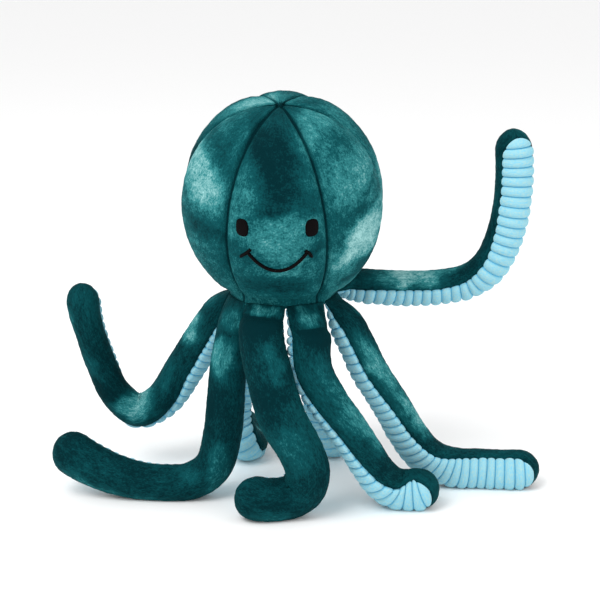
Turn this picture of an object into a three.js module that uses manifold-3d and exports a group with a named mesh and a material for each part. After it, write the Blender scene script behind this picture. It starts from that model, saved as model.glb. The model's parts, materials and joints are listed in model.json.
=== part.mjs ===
// A plush octopus: a stuffed head of six gores, sewn over a ring of eight stuffed arms.
// Millimetres, +Z up. The floor is at z = 0 and the face looks towards -Y.
import * as THREE from 'three';
import { mergeVertices } from 'three/addons/utils/BufferGeometryUtils.js';
import Module from 'manifold-3d';

const wasm = await Module();
wasm.setup();

// Fabric
const plushThickness = 1.35;
const ribbedThickness = 1.35;
const ribDepth = 1.3;
const fabricGap = 0.3;

// Head
const headWidth = 130;
const headHeight = 142;
const headTilt = THREE.MathUtils.degToRad(20);
const headTurn = THREE.MathUtils.degToRad(-3.5);
const goreCount = 6;
const seamDip = 1.1;
const crownOpening = 2.4;

// Face
const eyeSpacing = 42.3;
const eyeHeight = 16.2;
const eyeWidth = 8.2;
const eyeTall = 11;
const smileWidth = 35.4;
const smileTop = 0.6;
const smileDrop = 11.5;
const smileThread = 1.7;
const faceCentre = 1;
const threadRise = 0.9;

// Arms
const armCount = 8;
const ringTurn = THREE.MathUtils.degToRad(3);
const armLength = 200;
const armWidth = 29;
const armThickness = 26;
const rootWidth = 25;
const rootGap = 1.6;
const rootTaper = 24;
const seamHeight = 137;
const undersideRimAtTip = 5;
const flatDepth = 0.5;

// Base
const baseThickness = 1.35;

// Worked out from the sizes above
const foldRadius = (plushThickness + ribbedThickness + fabricGap) / 2;
const rootPitchShare = 0.815;
const ringRadius = (armWidth * rootPitchShare + rootGap) / 2 / Math.sin(Math.PI / armCount);
const tiltedHalfHeight = Math.hypot(headHeight / 2 * Math.cos(headTilt), headWidth / 2 * Math.sin(headTilt));
const neckDrop = tiltedHalfHeight * Math.sqrt(1 - (2 * ringRadius / headWidth) ** 2);
const neckLean = neckDrop * (headHeight ** 2 - headWidth ** 2) / 4
  * Math.sin(headTilt) * Math.cos(headTilt) / tiltedHalfHeight ** 2;
const rimHeight = seamHeight + foldRadius + fabricGap;
const headCentre = new THREE.Vector3(0, -neckLean, rimHeight + neckDrop);
headCentre.applyAxisAngle(new THREE.Vector3(0, 0, 1), headTurn);

const plush = { color: 0x1f6b6c, roughness: 0.85, metalness: 0 };
const ribbed = { color: 0x8fcfe4, roughness: 0.8, metalness: 0 };
const fibre = { color: 0xf1efe9, roughness: 1, metalness: 0 };
const thread = { color: 0x17120f, roughness: 0.45, metalness: 0 };

function named(name, geometry, finish) {
  const mesh = new THREE.Mesh(geometry, new THREE.MeshStandardMaterial(finish));
  mesh.name = name;
  return mesh;
}

// A body from its points and triangles, with its faces turned outwards
function closedBody(points, triangles) {
  const volume = triangles.reduce((sum, [a, b, c]) => (
    sum + points[a].dot(new THREE.Vector3().crossVectors(points[b], points[c]))), 0);
  const index = triangles.flatMap(([a, b, c]) => (volume > 0 ? [a, b, c] : [a, c, b]));
  const geometry = new THREE.BufferGeometry().setFromPoints(points);
  geometry.setIndex(index);
  return geometry;
}

// A sheet with a wall: two grids of points, row by row, joined round their four edges.
// The outer grid may have more rows than the inner, a whole number to each inner one.
function sheetBody(outer, inner) {
  const points = [...outer.flat(), ...inner.flat()];
  const columns = inner[0].length;
  const finer = (outer.length - 1) / (inner.length - 1);
  const out = (row, column) => row * columns + column;
  const within = (row, column) => (outer.length + row) * columns + column;
  const triangles = [];
  const quad = (a, b, c, d) => triangles.push([a, b, c], [a, c, d]);
  for (let column = 0; column < columns - 1; column += 1) {
    for (let row = 0; row < outer.length - 1; row += 1) {
      quad(out(row, column), out(row, column + 1), out(row + 1, column + 1), out(row + 1, column));
    }
    for (let row = 0; row < inner.length - 1; row += 1) {
      quad(
        within(row, column),
        within(row + 1, column),
        within(row + 1, column + 1),
        within(row, column + 1),
      );
    }
    const lastOut = outer.length - 1;
    const lastIn = inner.length - 1;
    quad(out(0, column), within(0, column), within(0, column + 1), out(0, column + 1));
    quad(out(lastOut, column), out(lastOut, column + 1), within(lastIn, column + 1), within(lastIn, column));
  }
  for (let row = 0; row < inner.length - 1; row += 1) {
    for (const [column, turned] of [[0, false], [columns - 1, true]]) {
      const add = (a, b, c) => triangles.push(turned ? [a, c, b] : [a, b, c]);
      for (let step = 0; step < finer; step += 1) {
        const start = row * finer + step;
        add(out(start, column), out(start + 1, column), within(row, column));
      }
      add(out((row + 1) * finer, column), within(row + 1, column), within(row, column));
    }
  }
  return closedBody(points, triangles);
}

// A solid through closed rings of points, with a fan over each end
function ringBody(rings) {
  const count = rings[0].length;
  const points = rings.flat();
  const triangles = [];
  for (let ring = 0; ring < rings.length - 1; ring += 1) {
    for (let step = 0; step < count; step += 1) {
      const a = ring * count + step;
      const b = ring * count + (step + 1) % count;
      triangles.push([a, b, b + count], [a, b + count, a + count]);
    }
  }
  for (const [ring, turned] of [[0, true], [rings.length - 1, false]]) {
    const middle = new THREE.Vector3();
    rings[ring].forEach((point) => middle.addScaledVector(point, 1 / count));
    points.push(middle);
    for (let step = 0; step < count; step += 1) {
      const a = ring * count + step;
      const b = ring * count + (step + 1) % count;
      triangles.push(turned ? [b, a, points.length - 1] : [a, b, points.length - 1]);
    }
  }
  return closedBody(points, triangles);
}

function toManifold(geometry) {
  const bare = geometry.clone();
  bare.deleteAttribute('normal');
  bare.deleteAttribute('uv');
  const merged = mergeVertices(bare);
  const vertProperties = new Float32Array(merged.attributes.position.array);
  const triVerts = new Uint32Array(merged.index.array);
  return new wasm.Manifold(new wasm.Mesh({ numProp: 3, vertProperties, triVerts }));
}

// Cuts away what lies below a level of the world, for a geometry placed by a matrix
function cutBelow(geometry, placing, level) {
  const world = geometry.clone().applyMatrix4(placing);
  world.computeBoundingBox();
  const { min, max } = world.boundingBox;
  if (min.z >= level) return geometry;
  const side = Math.max(max.x - min.x, max.y - min.y, max.z - min.z) * 2;
  const block = new THREE.BoxGeometry(side, side, side);
  block.translate((min.x + max.x) / 2, (min.y + max.y) / 2, level - side / 2);
  const { vertProperties, triVerts } = toManifold(world).subtract(toManifold(block)).getMesh();
  const cut = new THREE.BufferGeometry();
  cut.setAttribute('position', new THREE.BufferAttribute(vertProperties, 3));
  cut.setIndex(new THREE.BufferAttribute(triVerts, 1));
  return cut.applyMatrix4(placing.clone().invert());
}

// Head
const goreColumnShares = [-1, -0.8, -0.3, 0.3, 0.8, 1];
const goreRows = 10;
const neckPolarShare = 0.92;
const widestSeamShare = 0.3;

// The angles from the crown at which the head has a row of points, from its opening to the neck
function headPolars() {
  const first = crownOpening / headWidth;
  const last = Math.PI * neckPolarShare;
  return Array.from({ length: goreRows + 1 }, (_, row) => THREE.MathUtils.lerp(first, last, row / goreRows));
}

// A point of the head's surface, sunk by an inset and drawn in towards the nearest seam
function headPoint(goreIndex, share, polar, inset) {
  const half = Math.PI / goreCount;
  const longitude = 2 * half * goreIndex + half * share;
  const dip = seamDip * Math.abs(share) ** 6 * Math.sin(polar);
  const across = headWidth / 2 - inset - dip;
  const up = headHeight / 2 - inset - dip;
  const round = across * Math.sin(polar);
  return new THREE.Vector3(round * Math.sin(longitude), -round * Math.cos(longitude), up * Math.cos(polar));
}

function goreGrid(goreIndex, inset) {
  return headPolars().map((polar) => {
    const seamShare = fabricGap / 2 / (headWidth / 2 * Math.sin(polar) * Math.PI / goreCount);
    const reach = 1 - Math.min(seamShare, widestSeamShare);
    return goreColumnShares.map((share) => headPoint(goreIndex, share * reach, polar, inset));
  });
}

// The whole head as one closed form, sunk by an inset
function headForm(inset) {
  return ringBody(headPolars().map((polar) => (
    Array.from({ length: goreCount }, (_, gore) => (
      goreColumnShares.slice(0, -1).map((share) => headPoint(gore, share, polar, inset)))).flat())));
}

function goreBody(goreIndex) {
  return sheetBody(goreGrid(goreIndex, 0), goreGrid(goreIndex, plushThickness));
}

// A point of the head's cloth, at a place across and up the face, lifted off it
const faceCloth = new THREE.Mesh(headForm(0));
const towardsFace = new THREE.Raycaster();

function facePoint(across, up, lift) {
  towardsFace.set(new THREE.Vector3(across, -headWidth, up), new THREE.Vector3(0, 1, 0));
  const [{ point }] = towardsFace.intersectObject(faceCloth);
  const outward = new THREE.Vector3(point.x, point.y, point.z * (headWidth / headHeight) ** 2);
  return point.clone().addScaledVector(outward.normalize(), lift);
}

// An oval of satin stitch: a square lattice rounded to an ellipse
function eye(side) {
  const latticeShares = [-1, -0.5, 0, 0.5, 1];
  const grid = (lift) => latticeShares.map((v) => latticeShares.map((u) => (
    facePoint(
      faceCentre + side * eyeSpacing / 2 + eyeWidth / 2 * u * Math.sqrt(1 - v * v / 2),
      eyeHeight + eyeTall / 2 * v * Math.sqrt(1 - u * u / 2),
      lift,
    ))));
  return sheetBody(grid(fabricGap + threadRise), grid(fabricGap));
}

// The mouth: a line of satin stitch along a shallow arc, broader at its ends
function smile() {
  const steps = 14;
  const grid = (lift) => Array.from({ length: steps + 1 }, (_, step) => {
    const share = 2 * step / steps - 1;
    const half = smileThread / 2 * (1 + 0.5 * share ** 8);
    const across = faceCentre + smileWidth / 2 * share;
    const up = smileTop - smileDrop * (1 - share * share);
    const slope = Math.atan(4 * smileDrop * share / smileWidth);
    return [-half, half].map((offset) => (
      facePoint(across - offset * Math.sin(slope), up + offset * Math.cos(slope), lift)));
  });
  return sheetBody(grid(fabricGap + threadRise), grid(fabricGap));
}

function basePanel() {
  const radius = ringRadius - foldRadius - fabricGap;
  const profile = [[0, 0], [radius, 0], [radius, baseThickness], [0, baseThickness]];
  const disc = new THREE.LatheGeometry(profile.map(([r, z]) => new THREE.Vector2(r, z)), 32);
  disc.rotateX(Math.PI / 2);
  disc.translate(0, 0, seamHeight - baseThickness / 2);
  return disc;
}

// Arms
// Each arm in turn round the ring: how full it is along its length, and the route of its middle
// line from its seam, as how far out, aside and above the floor, the first two as shares of
// armLength and the third of seamHeight, then the turn of its ribbed side about that line in
// degrees, where 0 faces inward on a hanging arm.
const armRoutes = [
  {
    rests: false,
    fullShares: [[0, 0.84], [0.2, 0.98], [0.4, 0.98], [0.65, 0.78], [0.85, 0.76], [1, 0.86]],
    routeShares: [
      [0.065, 0, 0.87, -5], [0.14, -0.025, 0.71, -5], [0.21, -0.025, 0.555, -12],
      [0.285, -0.015, 0.39, -28], [0.365, 0.015, 0.325, -55], [0.435, 0.04, 0.41, -90],
      [0.465, 0.075, 0.56, -115], [0.485, 0.105, 0.715, -125], [0.5, 0.13, 0.865, -130],
      [0.505, 0.14, 1.005, -130],
    ],
  },
  {
    rests: true,
    fullShares: [[0, 0.84], [0.4, 0.94], [0.7, 0.9], [0.9, 1.06], [1, 1.06]],
    routeShares: [
      [0.01, 0, 0.86, -30], [0.035, 0.005, 0.71, -30], [0.05, 0.01, 0.535, -45], [0.06, 0, 0.35, -45],
      [0.09, -0.015, 0.18, -60], [0.155, -0.045, 0.105, -60], [0.25, -0.09, 0.095, -60],
      [0.35, -0.15, 0.115, -60], [0.45, -0.22, 0.175, -60], [0.54, -0.28, 0.27, -60],
    ],
  },
  {
    rests: true,
    fullShares: [[0, 0.84], [0.4, 1.04], [0.55, 1.04], [0.8, 1.02], [1, 1.04]],
    routeShares: [
      [0.04, 0, 0.875, -5], [0.085, 0.04, 0.715, -5], [0.11, 0.09, 0.53, -10], [0.09, 0.145, 0.365, -10],
      [0.065, 0.16, 0.245, -5], [0.055, 0.14, 0.155, 5], [0.07, 0.095, 0.115, 10], [0.11, 0.025, 0.115, 10],
      [0.145, -0.055, 0.16, 10],
    ],
  },
  {
    rests: true,
    fullShares: [[0, 0.82], [0.4, 0.92], [0.8, 1], [1, 1]],
    routeShares: [
      [0.03, 0, 0.865, -25], [0.06, -0.005, 0.725, -30], [0.09, 0.035, 0.59, -42],
      [0.115, 0.09, 0.465, -52], [0.13, 0.145, 0.335, -62], [0.14, 0.195, 0.22, -82],
      [0.15, 0.25, 0.145, -112], [0.18, 0.31, 0.135, -138], [0.225, 0.37, 0.175, -150],
    ],
  },
  {
    rests: true,
    fullShares: [[0, 0.84], [0.4, 0.92], [0.8, 1], [1, 1]],
    routeShares: [
      [0.06, 0, 0.86, -22], [0.125, 0.025, 0.64, -28], [0.19, 0.065, 0.455, -40], [0.24, 0.11, 0.285, -54],
      [0.295, 0.155, 0.155, -74], [0.365, 0.195, 0.095, -98], [0.465, 0.235, 0.08, -106],
      [0.56, 0.26, 0.08, -108], [0.65, 0.29, 0.09, -108],
    ],
  },
  {
    rests: false,
    fullShares: [[0, 0.84], [0.5, 0.9], [1, 0.9]],
    routeShares: [
      [0.07, 0, 1.005, -10], [0.16, -0.03, 0.99, -20], [0.26, -0.055, 0.975, -25], [0.365, -0.1, 0.98, -25],
      [0.455, -0.145, 1.015, -35], [0.5, -0.195, 1.1, -45], [0.53, -0.225, 1.235, -55],
      [0.545, -0.245, 1.405, -62], [0.55, -0.245, 1.575, -60], [0.54, -0.245, 1.765, -60],
    ],
  },
  {
    rests: true,
    fullShares: [[0, 0.78], [0.4, 0.87], [0.8, 1], [1, 1]],
    routeShares: [
      [0.025, 0, 0.835, 0], [0.05, -0.01, 0.65, -5], [0.07, -0.03, 0.455, -5], [0.09, -0.055, 0.29, -10],
      [0.115, -0.075, 0.17, -10], [0.17, -0.07, 0.11, -5], [0.24, -0.055, 0.095, -5],
      [0.33, -0.03, 0.1, -5], [0.435, 0.005, 0.105, -5],
    ],
  },
  {
    rests: true,
    fullShares: [[0, 0.78], [0.4, 0.87], [0.8, 1], [1, 1]],
    routeShares: [
      [0.03, 0, 0.835, 5], [0.065, 0.025, 0.645, 5], [0.085, 0.06, 0.455, 5], [0.09, 0.075, 0.29, 15],
      [0.09, 0.05, 0.17, 35], [0.12, 0.01, 0.11, 55], [0.21, -0.035, 0.095, 55], [0.31, -0.05, 0.095, 55],
      [0.395, -0.055, 0.1, 55],
    ],
  },
];
const firstArmPlace = -2.5;
const armRows = 20;
const ribStepsPerRow = 3;
const topColumns = 6;
const undersideColumns = 4;
const undersideHalfAngle = THREE.MathUtils.degToRad(66);
const innerBendShare = 0.85;
const creaseWallShare = 2;
const ribEdgeShare = 0.5;
const ribbedEndShare = 0.3;
const tipPointShare = 0.08;
const lastRowShare = 0.4;

function shareAt(table, place) {
  const next = table.findIndex(([at]) => at >= place);
  if (next <= 0) return table[Math.max(next, 0)][1];
  const [fromPlace, from] = table[next - 1];
  const [toPlace, to] = table[next];
  return THREE.MathUtils.mapLinear(place, fromPlace, toPlace, from, to);
}

// The arm's middle line in its own frame: its seam at the origin, outwards along -Y
function armCurve({ routeShares }) {
  const route = routeShares.map(([out, aside, height]) => (
    new THREE.Vector3(aside * armLength, -out * armLength, (height - 1) * seamHeight)));
  return new THREE.CatmullRomCurve3([new THREE.Vector3(), ...route], false, 'centripetal');
}

// How the ribbed side is turned at a place between 0 and 1 of the curve's own parameter
function turnAt({ routeShares }, parameter) {
  const turns = [0, ...routeShares.map((point) => point[3])];
  const place = parameter * (turns.length - 1);
  const before = Math.min(Math.floor(place), turns.length - 2);
  return THREE.MathUtils.degToRad(THREE.MathUtils.lerp(turns[before], turns[before + 1], place - before));
}

// Half width and half thickness at a distance from the seam: flat where it is sewn, then round
function armHalves({ fullShares }, distance, length) {
  const full = shareAt(fullShares, Math.min(distance / length, 1));
  const swell = THREE.MathUtils.smoothstep(distance, -rootTaper / 3, rootTaper);
  const beyond = Math.max(0, 1 - (length - distance) / (armWidth / 2));
  const tip = Math.max(Math.sqrt(1 - beyond ** 2), tipPointShare);
  const opening = Math.sin(Math.min(distance / rootTaper, 1) * Math.PI / 2);
  return {
    halfWidth: THREE.MathUtils.lerp(rootWidth / 2, armWidth / 2 * full, swell) * tip,
    halfThickness: THREE.MathUtils.lerp(foldRadius, armThickness / 2 * full, opening) * tip,
  };
}

// How much of its full width the ribbed fabric has near its rounded end, and none beyond it
function ribbedShareAt(distanceToEnd) {
  if (distanceToEnd < -fabricGap) return 0;
  const place = THREE.MathUtils.clamp(1 - distanceToEnd / (armWidth / 2), 0, 1);
  return Math.max(Math.sqrt(1 - place * place), ribbedEndShare);
}

// The sections along an arm: its folded edge on the seam, even rows, then two that round the tip
function armStations(arm) {
  const curve = armCurve(arm);
  const length = curve.getLength();
  const ribbedLength = length - undersideRimAtTip;
  const distances = Array.from({ length: armRows + 1 }, (_, row) => ribbedLength * row / armRows);
  distances.push(length - undersideRimAtTip * lastRowShare, length);
  const wide = new THREE.Vector3(1, 0, 0);
  const probe = armWidth / 4;
  const stations = distances.map((distance) => {
    const parameter = curve.getUtoTmapping(distance / length);
    const centre = curve.getPoint(parameter);
    const along = curve.getTangent(parameter);
    wide.addScaledVector(along, -wide.dot(along)).normalize();
    const acrossWay = wide.clone().applyAxisAngle(along, turnAt(arm, parameter));
    const topWay = new THREE.Vector3().crossVectors(along, acrossWay);
    const from = Math.max(distance - probe, 0);
    const to = Math.min(distance + probe, length);
    const bend = curve.getTangentAt(to / length).sub(curve.getTangentAt(from / length));
    const bendRadius = (to - from) / Math.max(bend.length(), Number.EPSILON);
    return {
      centre,
      along,
      acrossWay,
      topWay,
      bendWay: bend.normalize(),
      bendRadius,
      ribbedShare: ribbedShareAt(ribbedLength - distance),
      distance,
      ...armHalves(arm, distance, length),
    };
  });
  const [seam] = stations;
  const foldEnd = {
    ...seam,
    centre: seam.centre.clone().addScaledVector(seam.along, -foldRadius * Math.cos(Math.PI / 6)),
    halfThickness: foldRadius * Math.sin(Math.PI / 6),
  };
  return [foldEnd, ...stations];
}

// A point of a section at an angle from its broad side, sunk by an inset or raised by a rib.
// The inside of a bend is pressed flat, as the cloth creases and doubles there.
function sectionPoint(station, angle, inset, raised = 0) {
  const wall = Math.min(inset, station.halfThickness - fabricGap / 2);
  const offset = new THREE.Vector3()
    .addScaledVector(station.acrossWay, (station.halfWidth - wall + raised) * Math.cos(angle))
    .addScaledVector(station.topWay, (station.halfThickness - wall + raised) * Math.sin(angle));
  const limit = station.bendRadius * innerBendShare - inset * creaseWallShare + raised;
  const over = offset.dot(station.bendWay) - limit;
  if (over > 0) offset.addScaledVector(station.bendWay, -over);
  return offset.add(station.centre);
}

// Half the angle that the ribbed fabric takes of a section, to a seam line's one side or the other
function seamAngle(station, side) {
  const half = undersideHalfAngle * station.ribbedShare;
  const rate = Math.hypot(station.halfWidth * Math.cos(half), station.halfThickness * Math.sin(half));
  return half + side * fabricGap / 2 / rate;
}

function spread(from, to, count) {
  return Array.from({ length: count }, (_, step) => THREE.MathUtils.lerp(from, to, step / (count - 1)));
}

function topAngles(station) {
  const half = seamAngle(station, 1);
  return spread(half - Math.PI / 2, Math.PI * 1.5 - half, topColumns);
}

function undersideAngles(station) {
  const half = seamAngle(station, -1);
  return spread(-Math.PI / 2 - half, -Math.PI / 2 + half, undersideColumns);
}

function ribbedGrid(stations) {
  const outer = stations.map((station) => (
    undersideAngles(station).map((angle) => sectionPoint(station, angle, 0))));
  const inner = stations.map((station) => (
    undersideAngles(station).map((angle) => sectionPoint(station, angle, ribbedThickness))));
  const rows = [];
  for (let row = 0; row < stations.length - 1; row += 1) {
    const last = row === stations.length - 2;
    for (let step = 0; step < ribStepsPerRow + (last ? 1 : 0); step += 1) {
      const share = step / ribStepsPerRow;
      const crest = (row * ribStepsPerRow + step) % 2;
      const from = stations[row].distance / rootTaper;
      const rise = ribDepth * crest * Math.min(Math.max(from, 0), 1);
      rows.push(outer[row].map((point, column) => {
        const edge = column === 0 || column === undersideColumns - 1;
        const base = point.clone().lerp(outer[row + 1][column], share);
        const under = inner[row][column].clone().lerp(inner[row + 1][column], share);
        const outward = base.clone().sub(under).normalize();
        return base.addScaledVector(outward, rise * (edge ? ribEdgeShare : 1));
      }));
    }
  }
  return { outer: rows, inner };
}

function plushGrid(stations, inset) {
  return stations.map((station) => topAngles(station).map((angle) => sectionPoint(station, angle, inset)));
}

function fillingRings(stations) {
  const inset = plushThickness + fabricGap;
  const stuffed = stations.filter((station) => station.halfThickness > 2 * inset);
  return stuffed.map((station) => {
    const top = topAngles(station);
    const under = spread(top.at(-1), top[0] + Math.PI * 2, undersideColumns).slice(1, -1);
    const angles = [...top, ...under];
    return angles.map((angle) => sectionPoint(station, angle, inset));
  });
}

// Lets an arm down until it presses on the floor, by drawing its points down from the seam
function settle(grids) {
  const points = grids.flat(2);
  const lowest = Math.min(...points.map((point) => point.z));
  const stretch = (seamHeight + flatDepth) / -lowest;
  points.forEach((point) => { point.z *= stretch; });
}

function buildArm(arm, index) {
  const azimuth = ringTurn + (index + firstArmPlace) * Math.PI * 2 / armCount;
  const group = new THREE.Group();
  group.position.set(ringRadius * Math.sin(azimuth), -ringRadius * Math.cos(azimuth), seamHeight);
  group.rotation.z = azimuth;
  group.updateMatrixWorld();
  const stations = armStations(arm);
  const underside = ribbedGrid(stations.slice(0, armRows + 2));
  const topOuter = plushGrid(stations, 0);
  const topInner = plushGrid(stations, plushThickness);
  const filling = fillingRings(stations);
  if (arm.rests) settle([topOuter, topInner, underside.outer, underside.inner, filling]);
  const top = cutBelow(sheetBody(topOuter, topInner), group.matrixWorld, 0);
  const panel = cutBelow(sheetBody(underside.outer, underside.inner), group.matrixWorld, 0);
  group.add(
    named(`arm_${index + 1}_plush_top`, top, plush),
    named(`arm_${index + 1}_ribbed_underside`, panel, ribbed),
    named(`arm_${index + 1}_filling`, ringBody(filling), fibre),
  );
  return group;
}

const goreNames = ['front', 'front_right', 'back_right', 'back', 'back_left', 'front_left'];

function buildHead() {
  const group = new THREE.Group();
  group.position.copy(headCentre);
  group.rotation.set(headTilt, 0, headTurn, 'ZYX');
  group.updateMatrixWorld();
  goreNames.forEach((name, index) => {
    const gore = cutBelow(goreBody(index), group.matrixWorld, rimHeight);
    group.add(named(`head_gore_${name}`, gore, plush));
  });
  const fillingLevel = seamHeight + baseThickness / 2 + fabricGap;
  const filling = cutBelow(headForm(plushThickness + fabricGap), group.matrixWorld, fillingLevel);
  group.add(
    named('head_filling', filling, fibre),
    named('left_eye', eye(-1), thread),
    named('right_eye', eye(1), thread),
    named('smile', smile(), thread),
  );
  return group;
}

const octopus = new THREE.Group();
octopus.add(buildHead(), named('base_panel', basePanel(), ribbed));
armRoutes.forEach((arm, index) => octopus.add(buildArm(arm, index)));

// The origin is under the middle of the whole toy, on the floor
const box = new THREE.Box3().setFromObject(octopus, true);
const middle = box.getCenter(new THREE.Vector3());
octopus.position.set(-middle.x, -middle.y, -box.min.z);

export default octopus;
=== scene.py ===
import json
import math

import bmesh
import bpy
import numpy as np
from mathutils import Matrix, Vector, noise


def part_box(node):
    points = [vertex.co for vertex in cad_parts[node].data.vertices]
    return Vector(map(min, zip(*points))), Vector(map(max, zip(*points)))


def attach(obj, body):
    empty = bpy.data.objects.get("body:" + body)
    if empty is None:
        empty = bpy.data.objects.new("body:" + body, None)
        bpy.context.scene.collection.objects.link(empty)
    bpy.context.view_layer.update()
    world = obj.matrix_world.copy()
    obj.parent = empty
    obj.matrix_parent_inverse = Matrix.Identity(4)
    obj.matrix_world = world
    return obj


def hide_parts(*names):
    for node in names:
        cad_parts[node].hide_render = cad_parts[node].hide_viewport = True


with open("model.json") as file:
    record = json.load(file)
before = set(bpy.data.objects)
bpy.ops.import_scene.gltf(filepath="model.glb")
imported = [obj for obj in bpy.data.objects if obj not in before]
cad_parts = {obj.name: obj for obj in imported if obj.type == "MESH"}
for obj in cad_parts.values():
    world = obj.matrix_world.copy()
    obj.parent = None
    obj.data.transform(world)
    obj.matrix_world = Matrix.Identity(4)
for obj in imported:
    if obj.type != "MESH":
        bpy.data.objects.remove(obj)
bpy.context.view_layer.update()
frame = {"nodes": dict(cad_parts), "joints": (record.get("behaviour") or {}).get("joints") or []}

scene = bpy.context.scene
seamJoints = {joint["child"]: joint for joint in frame["joints"]}
ringCentre = sum((Vector(joint["pos_m"]) for joint in frame["joints"]), Vector()) / len(frame["joints"])
ringRoot = Vector(frame["joints"][0]["pos_m"]) - ringCentre
seamHeight = ringCentre.z
toMm = 1000
print("frame loaded:", len(frame["nodes"]), "nodes,", len(seamJoints), "sewn seams")


# Cloth
cloth = {
    "wall": 0.0011,  # thickness of a sewn fabric
    "foldRadius": 0.0015,  # half of the two fabrics where an arm is sewn flat
    "tuck": 0.0026,  # how deep a seam allowance turns in
    "floorGap": 0.0002,
}


def smoothStep(low, high, value):
    share = np.clip((value - low) / (high - low), 0, 1)
    return share * share * (3 - 2 * share)


def atLeast(low, share):
    # from low up to 1 as the share goes from 0 to 1
    return low + (1 - low) * share


def crowded(share, power):
    # from -1 to 1 across a piece, with its columns closer together towards both edges
    side = 2 * share - 1
    return np.sign(side) * (1 - (1 - np.abs(side)) ** power)


def discPlaces(acrossShare, alongShare):
    # a square grid drawn round onto a disc of radius 1
    u, v = 2 * acrossShare - 1, 2 * alongShare - 1
    return u * np.sqrt(1 - v * v / 2), v * np.sqrt(1 - u * u / 2)


def lengthAlong(line):
    return np.concatenate([[0], np.cumsum(np.linalg.norm(np.diff(line, axis=0), axis=1))])


def pointsAt(place, places, points):
    return np.stack([np.interp(place, places, points[:, i]) for i in range(3)], axis=-1)


def addObject(name, data):
    made = bpy.data.objects.new(name, data)
    scene.collection.objects.link(made)
    return made


def fromMesh(name, bm):
    mesh = bpy.data.meshes.new(name)
    bm.to_mesh(mesh)
    bm.free()
    return addObject(name, mesh)


def gridMesh(name, columns, rows, size, place):
    # a flat piece of cloth of a size in metres, laid on its form by place(across, along), both from 0
    # to 1, which gives its points and what is marked on them
    bm = bmesh.new()
    weave = bm.loops.layers.uv.new("weave")
    bmesh.ops.create_grid(bm, x_segments=columns, y_segments=rows, size=0.5, calc_uvs=True)
    flat = np.array([vert.co for vert in bm.verts])[:, :2] + 0.5
    points, marks = place(flat[:, 0], flat[:, 1])
    layers = {mark: bm.verts.layers.float.new(mark) for mark in marks}
    for i, vert in enumerate(bm.verts):
        vert.co = points[i]
        for mark, layer in layers.items():
            vert[layer] = marks[mark][i]
    for face in bm.faces:
        for loop in face.loops:
            loop[weave].uv = (loop[weave].uv.x * size[0], loop[weave].uv.y * size[1])
    bmesh.ops.remove_doubles(bm, verts=bm.verts, dist=1e-6)
    piece = fromMesh(name, bm)
    piece.data.polygons.foreach_set("use_smooth", [True] * len(piece.data.polygons))
    return piece


def addWall(piece, thickness=cloth["wall"]):
    wall = piece.modifiers.new("wall", "SOLIDIFY")
    wall.thickness = thickness
    wall.offset = -1
    return piece


def dress(piece, body, slot, material, *nodes):
    piece.data.materials.append(material)
    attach(piece, body)
    if nodes:
        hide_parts(*nodes)


# Stuffing: a closed bag of cloth is blown up a little, held at its seams
stuffing = {
    "scale": 10.0,  # the cloth solver works on a toy ten times as large
    "frames": 20,
    "solver": {
        "quality": 5, "mass": 0.2, "tension_stiffness": 20, "compression_stiffness": 20,
        "shear_stiffness": 8, "bending_stiffness": 0.8, "use_pressure": True,
        "uniform_pressure_force": 3.0, "shrink_min": -0.03,  # below 0 the bag is cut larger than its form
    },
    "heldRows": 3,  # rows at the bag's open end that stay where they are
    "cap": 0.0016,  # no point moves further
    "slim": 0.0007,  # the form is drawn in by this much first
}


def blowUp(name, grid, seamStep=0):
    # grid is rows by columns of points, closed round its columns and drawn to a point in its last row;
    # its first rows are held, and so is a seam in every so many columns
    rows, columns = grid.shape[:2]
    heldMask = np.zeros((rows, columns))
    heldMask[:stuffing["heldRows"]] = 1
    if seamStep:
        heldMask[:, ::seamStep] = 1
    bm = bmesh.new()
    bmesh.ops.create_grid(bm, x_segments=columns, y_segments=rows - 1, size=0.5)
    cell = bm.verts.layers.int.new("cell")
    for vert in bm.verts:
        row = round((vert.co.y + 0.5) * (rows - 1))
        column = round((vert.co.x + 0.5) * columns) % columns
        vert[cell] = row * columns + column
        vert.co = grid[row, column] * stuffing["scale"]
    bmesh.ops.remove_doubles(bm, verts=bm.verts, dist=1e-5)
    bmesh.ops.holes_fill(bm, edges=bm.edges)
    bmesh.ops.recalc_face_normals(bm, faces=bm.faces)
    cells = np.array([vert[cell] for vert in bm.verts])
    bag = fromMesh(name, bm)
    held = bag.vertex_groups.new(name="held")
    held.add(np.flatnonzero(heldMask.ravel()[cells]).tolist(), 1.0, "REPLACE")
    modifier = bag.modifiers.new("stuffing", "CLOTH")
    for setting, value in stuffing["solver"].items():
        setattr(modifier.settings, setting, value)
    modifier.settings.vertex_group_mass = "held"
    modifier.settings.effector_weights.gravity = 0
    modifier.point_cache.frame_start = 1
    modifier.point_cache.frame_end = stuffing["frames"]
    start = np.array([vert.co for vert in bag.data.vertices])
    for number in range(1, stuffing["frames"] + 1):
        scene.frame_set(number)
    blown = bag.evaluated_get(bpy.context.evaluated_depsgraph_get()).data
    moved = (np.array([vert.co for vert in blown.vertices]) - start) / stuffing["scale"]
    bpy.data.objects.remove(bag)
    scene.frame_set(1)
    reach = np.linalg.norm(moved, axis=1, keepdims=True)
    moved *= np.minimum(1, stuffing["cap"] / np.maximum(reach, 1e-9))
    result = grid.reshape(-1, 3).copy()
    result[cells] += moved
    result = result.reshape(rows, columns, 3)
    result[-1] = result[-1, cells[cells >= (rows - 1) * columns][0] % columns]
    print(name, "stuffed: moved", round(float(reach.max()) * toMm, 2), "mm at most")
    return result


def splineWeights(share):
    # Catmull-Rom weights of the four points round a place
    return np.stack([
        ((-share + 2) * share - 1) * share / 2,
        ((3 * share - 5) * share * share + 2) / 2,
        ((-3 * share + 4) * share + 1) * share / 2,
        (share - 1) * share * share / 2,
    ], axis=-1)


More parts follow.
